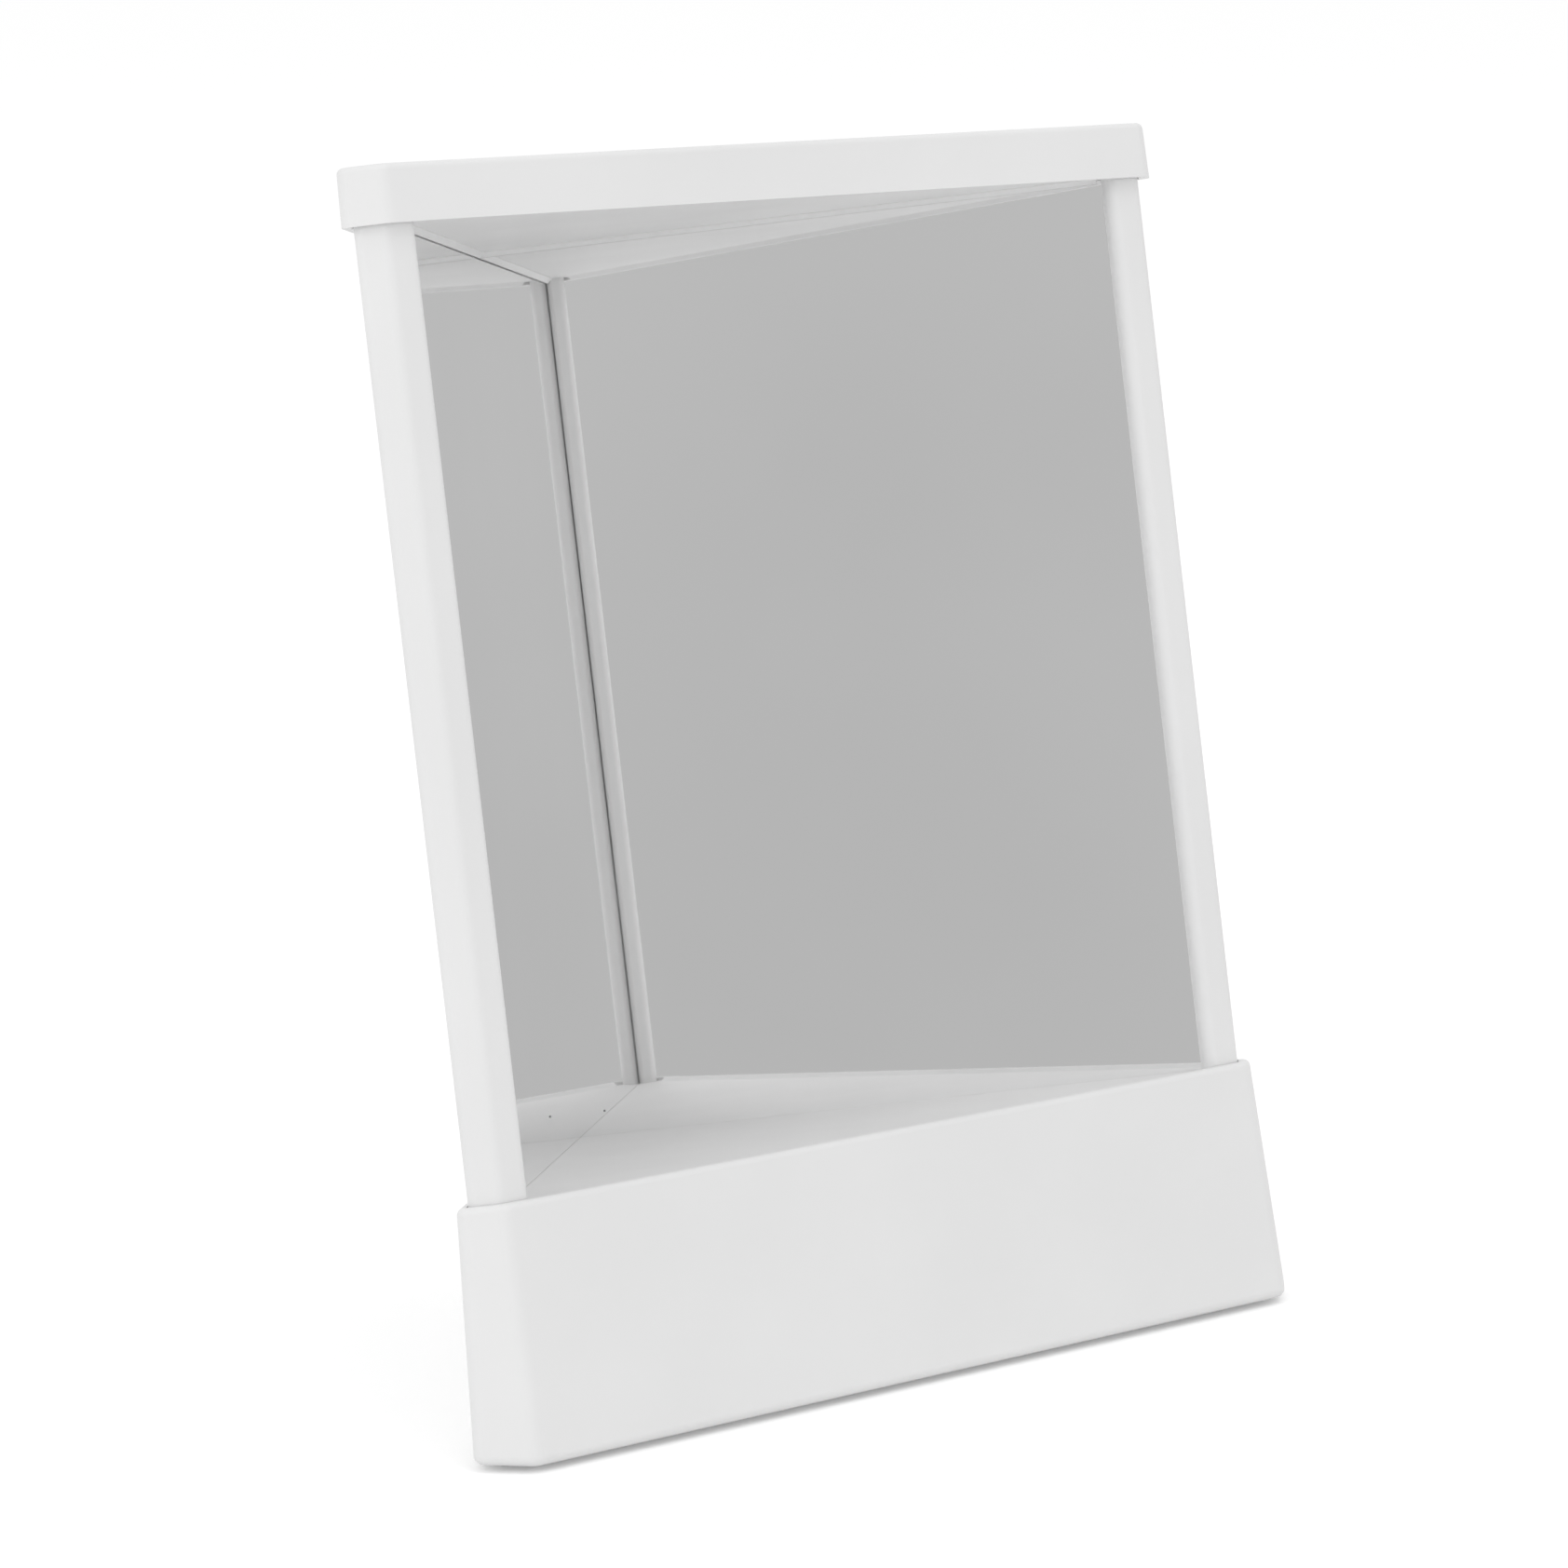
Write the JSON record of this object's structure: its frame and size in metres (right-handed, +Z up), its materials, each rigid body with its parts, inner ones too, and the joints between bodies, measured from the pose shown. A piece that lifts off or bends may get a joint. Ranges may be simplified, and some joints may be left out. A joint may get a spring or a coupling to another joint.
{
  "type": "makeup mirror",
  "caption": "White desk mirror with panes at a right angle, so that a face is shown unreversed, in a case open at the front that leans back on a wedge-shaped base.",
  "frame": {"origin": "on the table, under the middle of the whole mirror's box", "axes": "+Z up, +X to the right of someone who looks into the mirror, +Y from that person to the back"},
  "size_m": [0.1744, 0.1244, 0.1968],
  "materials": {
    "white_plastic": "smooth moulded, half gloss",
    "cover_plastic": "fine moulded texture",
    "mirror_glass": "silvered on the front",
    "foam_tape": "matt, adhesive",
    "screw_steel": "zinc plated",
    "ballast_steel": "plain rolled plate",
    "foot_rubber": "matt"
  },
  "bodies": {
    "stand": {"ballast_plate": "ballast_steel", "ballast_tape": "foam_tape", "base_cover": "cover_plastic", "base_shell": "white_plastic", "ceiling_plate": "white_plastic", "ceiling_screws": "screw_steel", "cover_screws": "screw_steel", "foot_front_left": "foot_rubber", "foot_front_right": "foot_rubber", "foot_rear": "foot_rubber", "left_inner_tape": "foam_tape", "left_mirror_pane": "mirror_glass", "left_outer_tape": "foam_tape", "post_screws": "screw_steel", "rear_housing": "white_plastic", "right_inner_tape": "foam_tape", "right_mirror_pane": "mirror_glass", "right_outer_tape": "foam_tape"},
    "cap": {"cap_shell": "white_plastic"}
  },
  "joints": [
    {"name": "cap_lift", "type": "slide", "parent": "stand", "child": "cap", "axis": [0, 0.1736, 0.9848], "range_m": [0, 0.03]}
  ]
}
